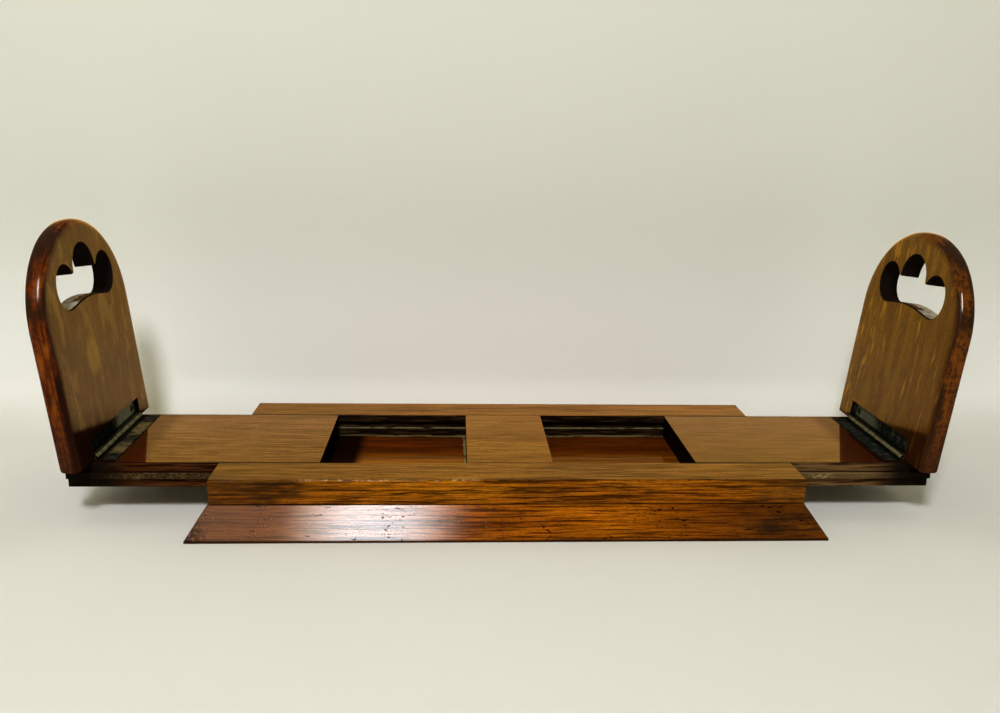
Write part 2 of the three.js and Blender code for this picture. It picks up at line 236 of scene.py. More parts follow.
BY_LEAF_SHARE = (0.35, 0.85)
LEAF_DARK_REFLECTION = (0.010, 0.004, 0.002)
BARE_BELOW = (0.05, 0.024, 0.010), 0.6
SLIDE_BARE_ROUGH = 0.7
SLIDE_BARE_LOSS = 0.9
SLIDE_JOINT_LOSS = 0.8
NEAR_HINGE_LOSS = 0.35

# Base board
WELL_FACING = (0.85, 0.97)
BELOW_FACING = (-0.85, -0.97)
WELL_SHADE = (16.0, 170.0, 10.0)
WELL_REAR_STEP = (0.38, 0.62)
WELL_REAR_TONES = (0.085, 0.014, 0.002), (0.022, 0.005, 0.001)
WELL_FRONT_STEP = (0.35, 0.65)
WELL_FRONT_TONES = (0.34, 0.116, 0.005), (0.17, 0.050, 0.003)
WELL_RIGHT_OUT = (-0.02, 0.02)
WELL_RIGHT_REAR = (0.026, 0.003, 0.0005), 0.80
WELL_DEPTH = (0.020, -0.024)
WELL_GRAIN_PATTERN = (24.0, 900.0, 10.0), 2.0, 0.34, 0.66
WELL_GRAIN_RANGE = (1.35, 0.55)
WELL_SHARE = 0.85
DUST_CORNER = 0.0000050
DUST_CORNER_SOFT = 0.0004
DUST_RAGGED_NOISE = 130.0
DUST_RAGGED = 0.0024
DUST_EDGE = (0.0002, -0.0004)
DUST_PATTERN = 55.0, 2.0, 0.34, 0.46
WELL_DUST = (0.19, 0.165, 0.065), 0.85
UNDER_SLIDE_OUT = (-0.0870, -0.0950)
SLIDE_END_SHADOW = (0.003, 0.001, 0.0005), 0.96
BARE_WOOD = (0.07, 0.036, 0.016), 1.0
BEVEL_LEFT_OUT = (-0.060, -0.150)
BEVEL_LEFT = (0.118, 0.060, 0.036), 0.75
BEVEL_RIGHT_OUT = (0.040, 0.120)
BEVEL_RIGHT = (0.055, 0.012, 0.001), 0.55
BEVEL_CLOUD_PATTERN = (26.0, 90.0, 130.0), 3.0, 0.40, 0.62
BEVEL_END_OUT = (0.095, 0.150)
BEVEL_END = (0.014, 0.007, 0.003)
BEVEL_END_CLOUD = 0.45
BEVEL_END_SHARE = 0.5
BEVEL_MIDDLE_ZONE = (-0.01, 0.09, 0.04)
BEVEL_MIDDLE = (0.055, 0.016, 0.001), 0.35
NICK_STRETCH = (330.0, 700.0, 900.0)
NICK_STEP = (0.60, 0.63)
NICK_AREA_PATTERN = 60.0, 2.0, 0.50, 0.56
NICK = (0.006, 0.003, 0.001), 0.95
NICK_DEPTH = 3.0
SPECK_CELLS = (300.0, 420.0, 520.0)
SPECK_AREA_PATTERN = 75.0, 2.0, 0.55, 0.61
SPECK_SIDE = (0.020, -0.030)
SPECK_RING = (0.30, 0.18)
SPECK_RIM_SHADE = (0.020, 0.008, 0.003), 0.6
SPECK_CORE = (0.13, 0.07)
SPECK_GLINT = (0.62, 0.46, 0.30), 0.8
BASE_FOOT_UP = (0.0022, 0.0010)
BASE_FOOT = (0.020, 0.007, 0.002), 0.9
CORNER_OUT = (-0.160, -0.176)
CORNER_FRONT = (-0.072, -0.080)
CORNER_PATTERN = 500.0, 2.0, 0.40, 0.55
CORNER_WEAR = (0.016, 0.006, 0.003), 1.0
BASE_BARE_ROUGH = 0.8
NICK_LOSS = 0.95
DUST_LOSS = 0.8
BASE_FOOT_LOSS = 0.8
WELL_LOSS = 0.8

# Ends. REAR_SHIFT moves the rear edge to another place in the noise than the front edge.
INWARD = (0.0, -0.02)
EDGE_FACING = (0.96, 0.72)
FACE_FACING = (0.80, 0.95)
REAR_SHIFT = (-0.001, 0.001, 0.0, 7.0)
EDGE_STREAK = (900.0, 48.0, 3.0)
EDGE_CLOUD = (130.0, 27.0, 2.0)
EDGE_STREAK_STEP = (0.36, 0.64)
EDGE_TONES = (0.190, 0.035, 0.001), (0.046, 0.007, 0.0005)
EDGE_BROWN = (0.160, 0.062, 0.008), 0.42
EDGE_MOTTLE = (340.0, 4.0, 0.65)
EDGE_MOTTLE_STEP = (0.46, 0.58)
EDGE_MOTTLE_SHARE = (0.65, 0.85)
EDGE_MOTTLE_TONE = (0.030, 0.009, 0.003)
EDGE_DARK_STEP = (0.49, 0.60)
EDGE_DARK = (0.016, 0.008, 0.004), 0.85
EDGE_GLOW_STEP = (0.44, 0.34)
EDGE_GLOW_SHARE = (0.7, 0.4)
EDGE_GLOW = (0.270, 0.070, 0.004)
FRONT_OUT = (-0.028, -0.054)
RIGHT_END = (0.1, 0.2)
BY_FRONT = (0.070, 0.021, 0.004), 0.4
NEAR_FOOT_UP = (0.075, 0.036)
FOOT_DARK_REFLECTION = (0.032, 0.011, 0.004), 0.65
CREASE_ZONE = (0.45, 0.86, 0.12)
CREASE_UP = (0.112, 0.080)
CREASE_SHARE = (1.0, 0.25)
CREASE_DARK_REFLECTION = (0.014, 0.004, 0.002), 0.75
FOOT_SOOT_REFLECTION_SLOPE = 0.19
FOOT_SOOT_REFLECTION_UP = (0.0452, 0.0418)
FOOT_SOOT_REFLECTION_SHARE = (1.0, 0.85)
FOOT_SOOT_AND_REFLECTION = (0.010, 0.0022, 0.0008), 0.97
HOLE_OVAL = (0.0, HOLE_MIDDLE), (0.0475, 0.0218), 0.06
HOLE_LOW_HALF = (0.0520, 0.0505)
HOLE_LOW_ZONE = (0.104, 0.128, 0.001)
HOLE_WALL_FACING = (0.93, 0.80)
HOLE_WALL_SHADE = (0.008, 0.005, 0.004), 1.0
FLOOR_FACING = (0.80, 0.93)
FLOOR_FRONT = (0.018, 0.010)
FLOOR_SHARE = 0.92
RAGGED_NOISE = (260.0, 3.0)
HOLLOW_RAGGED = 0.012
HOLLOW_FRONT = (-0.012, -0.015)
RIDGE_RAGGED = 0.004
RIDGE_OUT = (0.2396, 0.2402)
FLOOR_LIGHT_STEP = (-0.12, 0.12)
FLOOR_LIGHT_TONES = (0.24, 0.20, 0.14), (0.46, 0.40, 0.30)
FLOOR_BROWN = (0.070, 0.040, 0.016)
RIDGE_SHADOW_ZONE = (0.2388, 0.2394, 0.0004)
RIDGE_SHADOW = (0.010, 0.006, 0.003), 0.9
LET_IN_SIDE_ZONE = (0.0400, 0.0420, 0.0003)
LET_IN_TOP_HALF = (0.0415, 0.0412)
LET_IN_UP_ZONE = (PIN_UP, PIN_UP + 0.0135, 0.0005)
EDGE_ROUGH = 0.30
EDGE_SMOOTHED = 0.85
CREASE_LOSS = 0.8
SOOT_AND_REFLECTION_LOSS = 0.98
BARE_LOSS = 0.97
EDGE_POLISH = (0.30, 0.70, 1.0, 0.70)

# Marks of the left end
PALE_PATTERN = (20.0, 95.0, 34.0), 3.0, 0.52, 0.64
PALE = (0.25, 0.140, 0.036), 0.5
BROWN_PATTERN = (20.0, 60.0, 50.0), 3.0, 0.50, 0.64
BROWN = (0.058, 0.029, 0.018), 0.6
RUB_OVAL = (-0.0127, 0.086), (0.0085, 0.0100), 0.7
RUB = (0.30, 0.18, 0.020), 0.55
DOT_OVAL = (0.0266, 0.1089), (0.0016, 0.0009), 0.5
DOT = (0.010, 0.004, 0.002), 0.9

# Old metal
METAL_SHIFT = (1.0, 0.7, 0.3)
METAL_MOTTLE = (260.0, 4.0, 0.6)
METAL_WORN_STEP = (0.45, 0.70)
METAL_FINE = 2200.0
METAL_FINE_STEP = (0.55, 0.75)
METAL_PIT = 0.35
METAL_PIT_SHARE = 0.5
METAL_SCRATCH = (400.0, 60.0, 2600.0)
METAL_BUMP = (0.00004, 0.6)
METAL_FINE_DEPTH = 0.6
METAL_SCRATCH_DEPTH = 0.4
BARREL_REACH = (PIN_REACH + 0.0005, PIN_REACH + 0.0002)
BARREL_SHADE_REACH = (PIN_REACH + 0.0030, PIN_REACH + 0.0016)
BARREL_SHADE = (0.003, 0.003, 0.002), 0.94
BARREL_CREST_OUT = 0.72
BARREL_CREST_UP = 0.69
BARREL_CREST_STEP = (0.80, 0.96)
BARREL_PATTERN = 300.0, 3.0, 0.35, 0.60
BARREL_RANGE = (0.45, 1.0)
BARREL_WEAR_AND_HIGHLIGHT = (0.140, 0.122, 0.058)
GREY_FRONT = (-0.002, 0.012)
GREY_REAR = (0.036, 0.032)
GREY_SHARE = (0.95, 0.4)
GREY_PATTERN = 170.0, 2.0, 0.22, 0.44
GREY = (0.185, 0.190, 0.125)
OLIVE_REAR_ZONE = (0.008, 0.024, 0.007)
OLIVE_FRONT_ZONE = (-0.024, -0.014, 0.007)
OLIVE_PATTERN = 210.0, 2.0, 0.30, 0.55
OLIVE = (0.150, 0.108, 0.038), 0.85


def scaled(colour, by):
    return tuple(part * by for part in colour)


class Graph:
    """Builds one material's nodes."""

    def __init__(self, name):
        self.material = bpy.data.materials.new(name)
        self.material.use_nodes = True
        self.tree = self.material.node_tree
        self.tree.nodes.clear()
        self.place = self.add("ShaderNodeTexCoord").outputs["Object"]
        self.facing = self.add("ShaderNodeTexCoord").outputs["Normal"]

    def add(self, kind, **settings):
        node = self.tree.nodes.new(kind)
        for key, value in settings.items():
            setattr(node, key, value)
        return node

    def put(self, socket, value):
        if isinstance(value, bpy.types.NodeSocket):
            self.tree.links.new(value, socket)
        elif isinstance(value, tuple) and len(value) == 3 and socket.type == "RGBA":
            socket.default_value = (*value, 1.0)
        else:
            socket.default_value = value

    def math(self, operation, a, b=0.0, clamp=False):
        node = self.add("ShaderNodeMath", operation=operation, use_clamp=clamp)
        self.put(node.inputs[0], a)
        self.put(node.inputs[1], b)
        return node.outputs[0]

    def times(self, *values):
        product = values[0]
        for value in values[1:]:
            product = self.math("MULTIPLY", product, value)
        return product

    def plus(self, a, b):
        return self.math("ADD", a, b)

    def less(self, a, b):
        return self.math("SUBTRACT", a, b)

    def most(self, a, b):
        return self.math("MAXIMUM", a, b)

    def size(self, value):
        return self.math("ABSOLUTE", value)

    def without(self, mask):
        return self.less(1.0, mask)

    def keep(self, mask, loss):
        """What is left of one where a mask takes that share of it."""
        return self.without(self.times(mask, loss))

    def vector(self, operation, a, b):
        node = self.add("ShaderNodeVectorMath", operation=operation)
        self.put(node.inputs[0], a)
        self.put(node.inputs[1], b)
        return node.outputs[0]

    def split(self, vector):
        node = self.add("ShaderNodeSeparateXYZ")
        self.put(node.inputs[0], vector)
        return node.outputs[0], node.outputs[1], node.outputs[2]

    def join(self, x, y, z):
        node = self.add("ShaderNodeCombineXYZ")
        for socket, value in zip(node.inputs, (x, y, z)):
            self.put(socket, value)
        return node.outputs[0]

    def step(self, value, low, high, to_low=0.0, to_high=1.0):
        """A smooth step of value from low to high."""
        node = self.add("ShaderNodeMapRange", interpolation_type="SMOOTHSTEP")
        for key, v in (("Value", value), ("From Min", low), ("From Max", high),
                       ("To Min", to_low), ("To Max", to_high)):
            self.put(node.inputs[key], v)
        return node.outputs["Result"]

    def between(self, value, low, high, soft):
        """One from low to high, fading to nothing over soft on either side."""
        return self.times(self.step(value, low - soft, low), self.step(value, high + soft, high))

    def toward(self, part):
        """One where that part of the facing is nearly one."""
        return self.step(part, *FACING)

    def by_half(self, x, left, right):
        """One number on the rack's left half, another on its right."""
        return self.step(x, -HALF_APART, HALF_APART, left, right)

    def oval(self, across, up, centre, half, soft):
        """A soft oval mark about a centre, with its half sizes."""
        total = 0.0
        for value, middle, reach in zip((across, up), centre, half):
            off = self.math("DIVIDE", self.less(value, middle), reach)
            total = self.plus(self.times(off, off), total)
        return self.step(total, 1.0 + soft, 1.0 - soft)

    def noise(self, vector, scale=1.0, detail=2.0, rough=0.5):
        node = self.add("ShaderNodeTexNoise")
        self.put(node.inputs["Vector"], vector)
        self.put(node.inputs["Scale"], scale)
        self.put(node.inputs["Detail"], detail)
        self.put(node.inputs["Roughness"], rough)
        return node.outputs["Fac"]

    def stretched(self, stretch):
        return self.vector("MULTIPLY", self.place, stretch)

    def pattern(self, stretch, detail, *step):
        """Noise stretched by one or three scales per metre, cut by a smooth step."""
        if isinstance(stretch, tuple):
            value = self.noise(self.stretched(stretch), detail=detail)
        else:
            value = self.noise(self.place, stretch, detail)
        return self.step(value, *step)

    def cells(self, stretch):
        node = self.add("ShaderNodeTexVoronoi")
        self.put(node.inputs["Vector"], self.stretched(stretch))
        self.put(node.inputs["Scale"], 1.0)
        return node.outputs["Distance"]

    def mix(self, share, a, b):
        node = self.add("ShaderNodeMix", data_type="RGBA")
        self.put(node.inputs["Factor"], share)
        self.put(node.inputs[6], a)
        self.put(node.inputs[7], b)
        return node.outputs[2]

    def stain(self, colour, stain, *masks):
        """A colour under a stain, as far as its strength and the masks let it cover."""
        tone, strength = stain
        return self.mix(self.times(*masks, strength), colour, tone)

    def tint(self, colour, by):
        """A colour times a colour or a number."""
        if isinstance(by, bpy.types.NodeSocket) and by.type == "VALUE":
            by = self.join(by, by, by)
        return self.vector("MULTIPLY", colour, by)

    def blend(self, share, a, b):
        node = self.add("ShaderNodeMix", data_type="FLOAT")
        self.put(node.inputs[0], share)
        self.put(node.inputs[2], a)
        self.put(node.inputs[3], b)
        return node.outputs[0]

    def bump(self, height, distance, strength):
        node = self.add("ShaderNodeBump")
        self.put(node.inputs["Height"], height)
        self.put(node.inputs["Distance"], distance)
        self.put(node.inputs["Strength"], strength)
        return node.outputs["Normal"]

    def show(self, shader):
        out = self.add("ShaderNodeOutputMaterial")
        self.tree.links.new(shader.outputs[0], out.inputs["Surface"])
        return self.material

    def finish(self, **inputs):
        shader = self.add("ShaderNodeBsdfPrincipled")
        for key, value in inputs.items():
            self.put(shader.inputs[key.replace("_", " ")], value)
        return self.show(shader)


def oak(name, light, dark, seed, along="x", rings=1.0, streak=1.0, fine=1.0, flecks=0.0,
        coat=0.5, gloss=0.12, veil=0.38, sheen=0.10, ripple=1.2, relief=0.5, extra=None):
    """Polished oak: wandering rings, dark streaks, fine lines, dashes, pores, ray flecks."""
    g = Graph(name)
    x, y, z = g.split(g.vector("ADD", g.place, scaled(SEED_SHIFT, seed)))
    a, b, c = (x, y, z) if along == "x" else (z, y, x)

    def grain(run, across, through, detail):
        spread = g.join(g.times(a, run), g.times(b, across), g.times(c, through))
        return g.noise(spread, detail=detail)

    def share(value, limits, amount):
        return g.times(g.step(value, *limits), amount)

    drift = g.times(g.less(grain(*WANDER), NOISE_MIDDLE), DRIFT_ACROSS)
    b = g.plus(b, drift)
    c = g.plus(c, g.times(drift, DRIFT_THROUGH))
    deep = scaled(dark, DEEP)
    lines, hair, dashes = grain(*LINES), grain(*HAIR), grain(*DASHES)
    pores = g.step(grain(*PORES), *PORE_STEP)
    strong = g.times(g.keep(g.toward(g.size(g.split(g.facing)[2])), TOP_CALM), streak)
    darkened = g.math("MULTIPLY", strong, DARK_SHARE, clamp=True)
    colour = g.mix(share(grain(*BANDS), BAND_STEP, rings), light, dark)
    colour = g.mix(share(lines, BRIGHT_STEP, g.times(strong, BRIGHT_SHARE)), colour,
                   scaled(light, BRIGHT))
    colour = g.mix(share(lines, DARK_STEP, darkened), colour, deep)
    colour = g.mix(share(hair, HAIR_STEP, HAIR_SHARE * fine), colour, deep)
    colour = g.stain(colour, (deep, PORE_SHARE), pores)
    colour = g.tint(colour, g.step(dashes, *DASH_STEP, *DASH_RANGE))
    colour = g.mix(g.step(grain(*BLOTS), *BLOT_STEP), colour, g.tint(colour, BLOT_TINT))
    if flecks:
        sway = g.times(g.less(g.noise(g.place, FLECK_SWAY_NOISE), NOISE_MIDDLE), FLECK_SWAY)
        ray = g.noise(g.join(g.times(a, FLECK_ALONG), g.times(g.plus(b, sway), FLECK_ACROSS),
                             seed), detail=1.0)
        ray = g.times(g.step(ray, *FLECK_STEP), g.pattern(*FLECK_AREA_PATTERN), flecks)
        colour = g.mix(ray, colour, scaled(light, FLECK_LIGHT))
    if along == "x":
        end_grain = g.step(g.size(g.split(g.facing)[0]), *END_GRAIN_FACING)
        colour = g.stain(colour, (deep, END_GRAIN_SHARE), end_grain)
    high, low = 1.0 + 0.5 * veil, 1.0 - 0.5 * veil
    polish = g.times(g.step(dashes, *DASH_STEP, high, low),
                     g.step(lines, *VEIL_STEP, coat * high, coat * (1.0 - veil)),
                     g.step(hair, *DASH_STEP, high, low))
    look = {
        "colour": colour,
        "rough": g.step(lines, *ROUGH_STEP, *OAK_ROUGH),
        "height": g.plus(g.times(pores, PORE_DEPTH), g.times(lines, LINE_DEPTH)),
        "coat": polish,
    }
    if extra:
        extra(g, look)
    swell = g.plus(g.times(look["height"], relief), g.times(grain(*SWELLS), ripple))
    return g.finish(Base_Color=look["colour"], Roughness=look["rough"],
                    Normal=g.bump(look["height"], *WOOD_BUMP),
                    Specular_IOR_Level=sheen, Coat_Weight=look["coat"], Coat_Roughness=gloss,
                    Coat_IOR=POLISH_IOR, Coat_Normal=g.bump(swell, *POLISH_BUMP))


def soiled_rail(g, look):
    """Bright outer faces, a dark bare inner face with dust on its lips, grubby ends."""
    x, y, z = g.split(g.place)
    _, ny, nz = g.split(g.facing)
    wide, long = g.size(y), g.size(x)
    top = g.times(g.step(z, *RAIL_TOP), g.toward(nz))
    inner = g.times(g.step(wide, *RAIL_INNER), g.without(top))
    outer = g.times(g.toward(g.size(ny)), g.without(inner))

    # Soot, smoke and a dark spot on the outer faces
    colour = g.mix(outer, look["colour"], g.tint(look["colour"], RAIL_OUTER_TINT))
    colour = g.stain(colour, SOOT, g.most(g.step(x, *SOOT_LEFT), g.step(x, *SOOT_RIGHT)), outer)
    colour = g.stain(colour, SMOKE, g.pattern(*SMOKE_PATTERN), outer)
    colour = g.stain(colour, SPOT, g.between(x, *SPOT_ZONE), g.pattern(*SPOT_PATTERN), outer)

    # The bare inner face, dusty on the groove's lip and along its foot
    dirt = g.noise(g.stretched(DIRT_GRAIN), detail=3.0)
    colour = g.mix(inner, colour, g.mix(g.step(dirt, *DIRT_STEP), *DIRT_TONES))
    lip = g.times(g.step(g.size(g.less(z, GROOVE_LIP)), *LIP_UP), g.step(wide, *LIP_IN))
    foot = g.step(g.plus(z, g.times(dirt, DIRT_RAGGED)), *RAIL_FOOT)
    colour = g.stain(colour, RAIL_DUST, g.most(lip, foot), inner, g.pattern(*BROKEN_PATTERN))

    # The joint with a slide, the handled ends and the duller left top
    colour = g.stain(colour, RAIL_JOINT, g.step(wide, *RAIL_JOINT_IN), top,
                     g.step(long, *RAIL_JOINT_OUT))
    colour = g.stain(colour, GRUBBY, g.step(long, *RAIL_ENDS), g.pattern(*GRUBBY_PATTERN))
    dull = g.times(g.step(x, *DULL_LEFT), top)
    colour = g.stain(colour, DULL, dull)

    # The outer arris with a painted highlight and chipped dark, and the painted shade over the base
    arris = g.times(g.step(z, *ARRIS_UP), g.step(wide, *ARRIS_OUT))
    # Painted highlight: pale marks along part of the outer arris
    colour = g.stain(colour, ARRIS_GLINT, arris, g.pattern(*ARRIS_GLINT_PATTERN),
                     g.between(x, *ARRIS_GLINT_ZONE))
    colour = g.stain(colour, CHIPPED, arris, g.pattern(*CHIPPED_PATTERN))
    shade = g.times(g.step(z, *RAIL_SHADE_UP), outer)
    look["colour"] = g.stain(colour, RAIL_SHADE, shade)
    look["rough"] = g.blend(inner, look["rough"], RAIL_BARE_ROUGH)
    look["coat"] = g.times(look["coat"], g.keep(g.most(inner, shade), RAIL_BARE_LOSS),
                           g.keep(dull, RAIL_DULL_LOSS))


def soiled_slide(g, look):
    """Sides and tongues rubbed dark and dusty, end faces black, the underside unpolished."""
    x, y, z = g.split(g.place)
    nx, _, nz = g.split(g.facing)
    wide, long = g.size(y), g.size(x)
    side = g.step(wide, *SLIDE_SIDE)
    right = g.step(x, *RIGHT_SLIDE)
    upward = g.step(nz, *UPWARD)

    # Flanks and tongues, paler on the right slide, with a painted highlight on the right tongue
    rubbing = g.noise(g.stretched(FLANK_GRAIN), detail=3.0)
    flank = g.mix(g.step(rubbing, *FLANK_STEP), *FLANK_TONES)
    paler = g.mix(g.step(rubbing, *PALE_FLANK_STEP), *PALE_FLANK_TONES)
    flank = g.stain(flank, (paler, PALE_FLANK_SHARE), right)
    worn = g.mix(g.pattern(*TONGUE_PATTERN), *TONGUE_TONES)
    worn = g.stain(worn, PALE_TONGUE, right)
    worn = g.stain(worn, CHALK, g.pattern(*CHALK_PATTERN), g.between(x, *CHALK_ZONE))
    # Painted highlight along the right tongue's upper arris
    worn = g.stain(worn, TONGUE_HIGHLIGHT, g.step(z, *TONGUE_ARRIS), right)
    colour = g.mix(side, look["colour"], flank)
    colour = g.mix(g.step(wide, *TONGUE_SIDE), colour, worn)

    # The leaf's seat with its rim, and the line before it, painted dark: painted shade with grime
    rim = g.times(g.step(nz, *RIM_FACING), g.step(z, *RIM_UP))
    seat_shade = g.times(g.between(long, *LEAF_SEAT_ZONE), g.step(wide, *LEAF_SEAT_HALF),
                   g.most(g.step(z, *LEAF_SEAT_UP), rim))
    before = g.times(g.step(long, *BEFORE_SEAT), g.step(wide, *BEFORE_SEAT_HALF), upward)
    seat_shade = g.most(seat_shade, g.times(before, BEFORE_SEAT_SHARE))
    # Painted shade with grime in the leaf's seat and the line before it
    colour = g.stain(colour, SEAT_SHADE_AND_GRIME, seat_shade)

    # The outer end, the joints with the rails, and a painted dark reflection of the end towards the
    # hinge
    end_face = g.step(g.size(nx), *END_FACE_FACING)
    colour = g.stain(colour, END_FACE, end_face)
    colour = g.stain(colour, TIP, side, g.step(long, *TIP_OUT))
    joint = g.times(g.step(wide, *SLIDE_JOINT_IN), upward, g.step(long, *SLIDE_JOINT_OUT))
    colour = g.stain(colour, SLIDE_JOINT, joint)
    # Painted dark reflection: the tops darker and less polished towards the hinge
    hinge_reflection = g.times(g.step(long, *NEAR_HINGE_OUT), g.toward(nz))
    colour = g.stain(colour, HINGE_DARK_REFLECTION, hinge_reflection)
    leaf_reflection = g.times(g.step(long, *BY_LEAF_OUT), upward, g.by_half(x, *BY_LEAF_SHARE))
    colour = g.mix(leaf_reflection, colour, LEAF_DARK_REFLECTION)
    below = g.step(nz, *FACING_AWAY)
    look["colour"] = g.stain(colour, BARE_BELOW, below)
    dull = g.most(g.most(side, below), end_face)
    look["rough"] = g.blend(dull, look["rough"], SLIDE_BARE_ROUGH)
    dull = g.most(dull, g.most(g.times(joint, SLIDE_JOINT_LOSS), seat_shade))
    look["coat"] = g.times(look["coat"], g.keep(dull, SLIDE_BARE_LOSS),
                           g.keep(hinge_reflection, NEAR_HINGE_LOSS))


def soiled_base(g, look):
    """Dark red wells with dust along the joints and a painted shadow by the slide's end, nicks and
    painted glints on the slopes.
    """
    x, y, z = g.split(g.place)
    up = g.split(g.facing)[2]
    well, below = g.step(up, *WELL_FACING), g.step(up, *BELOW_FACING)
    slope = g.without(g.most(well, below))

    # The wells, redder at the back and darker in the right one
    shade = g.noise(g.stretched(WELL_SHADE), detail=2.0)
    rear = g.mix(g.step(shade, *WELL_REAR_STEP), *WELL_REAR_TONES)
    front = g.mix(g.step(shade, *WELL_FRONT_STEP), *WELL_FRONT_TONES)
    rear = g.stain(rear, WELL_RIGHT_REAR, g.step(x, *WELL_RIGHT_OUT))
    floor = g.mix(g.step(y, *WELL_DEPTH), rear, front)
    floor = g.tint(floor, g.pattern(*WELL_GRAIN_PATTERN, *WELL_GRAIN_RANGE))
    colour = g.stain(look["colour"], (floor, WELL_SHARE), well)

    # Dust swept against the rails and the centre block, and gathered in the corners; a painted
    # shadow beside the left slide's end
    rail_gap = g.size(g.less(g.size(y), SLOT_HALF))
    block_gap = g.size(g.less(g.size(x), BLOCK_HALF))
    corner = g.math("DIVIDE", DUST_CORNER, g.plus(g.plus(rail_gap, block_gap), DUST_CORNER_SOFT))
    gap = g.less(g.math("MINIMUM", rail_gap, block_gap), corner)
    ragged = g.times(g.noise(g.place, DUST_RAGGED_NOISE), DUST_RAGGED)
    dust = g.times(g.step(g.less(gap, ragged), *DUST_EDGE), well, g.pattern(*DUST_PATTERN))
    colour = g.stain(colour, WELL_DUST, dust)
    # Painted shadow on the left well's floor beside the slide's end
    slide_end_shadow = g.times(g.step(x, *UNDER_SLIDE_OUT), well)
    colour = g.stain(colour, SLIDE_END_SHADOW, slide_end_shadow)
    colour = g.stain(colour, BARE_WOOD, below)

    # The slopes: greyer at the left, redder and sootier towards the right
    colour = g.stain(colour, BEVEL_LEFT, g.step(x, *BEVEL_LEFT_OUT), slope)
    colour = g.stain(colour, BEVEL_RIGHT, g.step(x, *BEVEL_RIGHT_OUT), slope)
    cloud = g.pattern(*BEVEL_CLOUD_PATTERN)
    far_right = g.times(g.step(x, *BEVEL_END_OUT), slope)
    sooty = g.plus(g.times(cloud, BEVEL_END_CLOUD), BEVEL_END_SHARE)
    colour = g.mix(g.times(far_right, sooty), colour, BEVEL_END)
    colour = g.stain(colour, BEVEL_MIDDLE, g.between(x, *BEVEL_MIDDLE_ZONE), slope, cloud)

    # Nicks, painted glints in pits ringed with painted shade, the bottom edge and the worn front
    # left corner
    nicks = g.noise(g.stretched(NICK_STRETCH), detail=3.0, rough=0.65)
    nicks = g.times(g.step(nicks, *NICK_STEP), g.pattern(*NICK_AREA_PATTERN), slope)
    colour = g.stain(colour, NICK, nicks)
    # Painted glints: pale dots, each with a painted dark ring
    near = g.cells(SPECK_CELLS)
    area = g.times(g.pattern(*SPECK_AREA_PATTERN), g.step(x, *SPECK_SIDE), slope)
    colour = g.stain(colour, SPECK_RIM_SHADE, g.step(near, *SPECK_RING), area)
    speck_glint = g.times(g.step(near, *SPECK_CORE), area)
    colour = g.stain(colour, SPECK_GLINT, speck_glint)
    foot = g.times(g.step(z, *BASE_FOOT_UP), g.without(below))
    colour = g.stain(colour, BASE_FOOT, foot)
    look["colour"] = g.stain(colour, CORNER_WEAR, g.step(x, *CORNER_OUT),
                             g.step(y, *CORNER_FRONT), slope, g.pattern(*CORNER_PATTERN))
    look["height"] = g.less(look["height"], g.times(nicks, NICK_DEPTH))
    look["rough"] = g.blend(g.most(dust, below), look["rough"], BASE_BARE_ROUGH)
    polished = g.times(g.without(g.most(g.times(nicks, NICK_LOSS), g.times(dust, DUST_LOSS))),
                       g.without(g.most(g.times(foot, BASE_FOOT_LOSS), slide_end_shadow)),
                       g.without(speck_glint))
    look["coat"] = g.times(look["coat"], polished, g.keep(well, WELL_LOSS))


def edge_tone(g, x, rear, depth, run):
    """The rounded edge's red polish, browner on the right end, and its streaks."""
    def along_edge(across, along, detail):
        return g.noise(g.join(g.times(depth, across), g.times(run, along), rear), detail=detail)

    streak, cloud = along_edge(*EDGE_STREAK), along_edge(*EDGE_CLOUD)
    red = g.mix(g.step(streak, *EDGE_STREAK_STEP), *EDGE_TONES)
    red = g.stain(red, EDGE_BROWN, g.by_half(x, 0.0, 1.0))
    mottle = g.step(g.noise(g.place, *EDGE_MOTTLE), *EDGE_MOTTLE_STEP)
    red = g.mix(g.times(mottle, g.by_half(x, *EDGE_MOTTLE_SHARE)), red, EDGE_MOTTLE_TONE)
    red = g.stain(red, EDGE_DARK, g.step(cloud, *EDGE_DARK_STEP))
    glow = g.times(g.step(cloud, *EDGE_GLOW_STEP), g.by_half(x, *EDGE_GLOW_SHARE))
    return g.mix(glow, red, EDGE_GLOW), streak


def hole_floor_tone(g, y, depth):
    """The hand hole's floor: a worn brown lip, a painted shadow line under the ridge, and painted
    light on the pale ridge and hollow.
    """
    ragged = g.less(g.noise(g.place, *RAGGED_NOISE), NOISE_MIDDLE)
    hollow = g.step(g.plus(y, g.times(ragged, HOLLOW_RAGGED)), *HOLLOW_FRONT)
    across = g.plus(depth, g.times(ragged, RIDGE_RAGGED))
    lit_floor = g.mix(g.step(ragged, *FLOOR_LIGHT_STEP), *FLOOR_LIGHT_TONES)
    tone = g.mix(g.most(hollow, g.step(across, *RIDGE_OUT)), FLOOR_BROWN, lit_floor)
    return g.stain(tone, RIDGE_SHADOW, g.between(across, *RIDGE_SHADOW_ZONE), g.without(hollow))


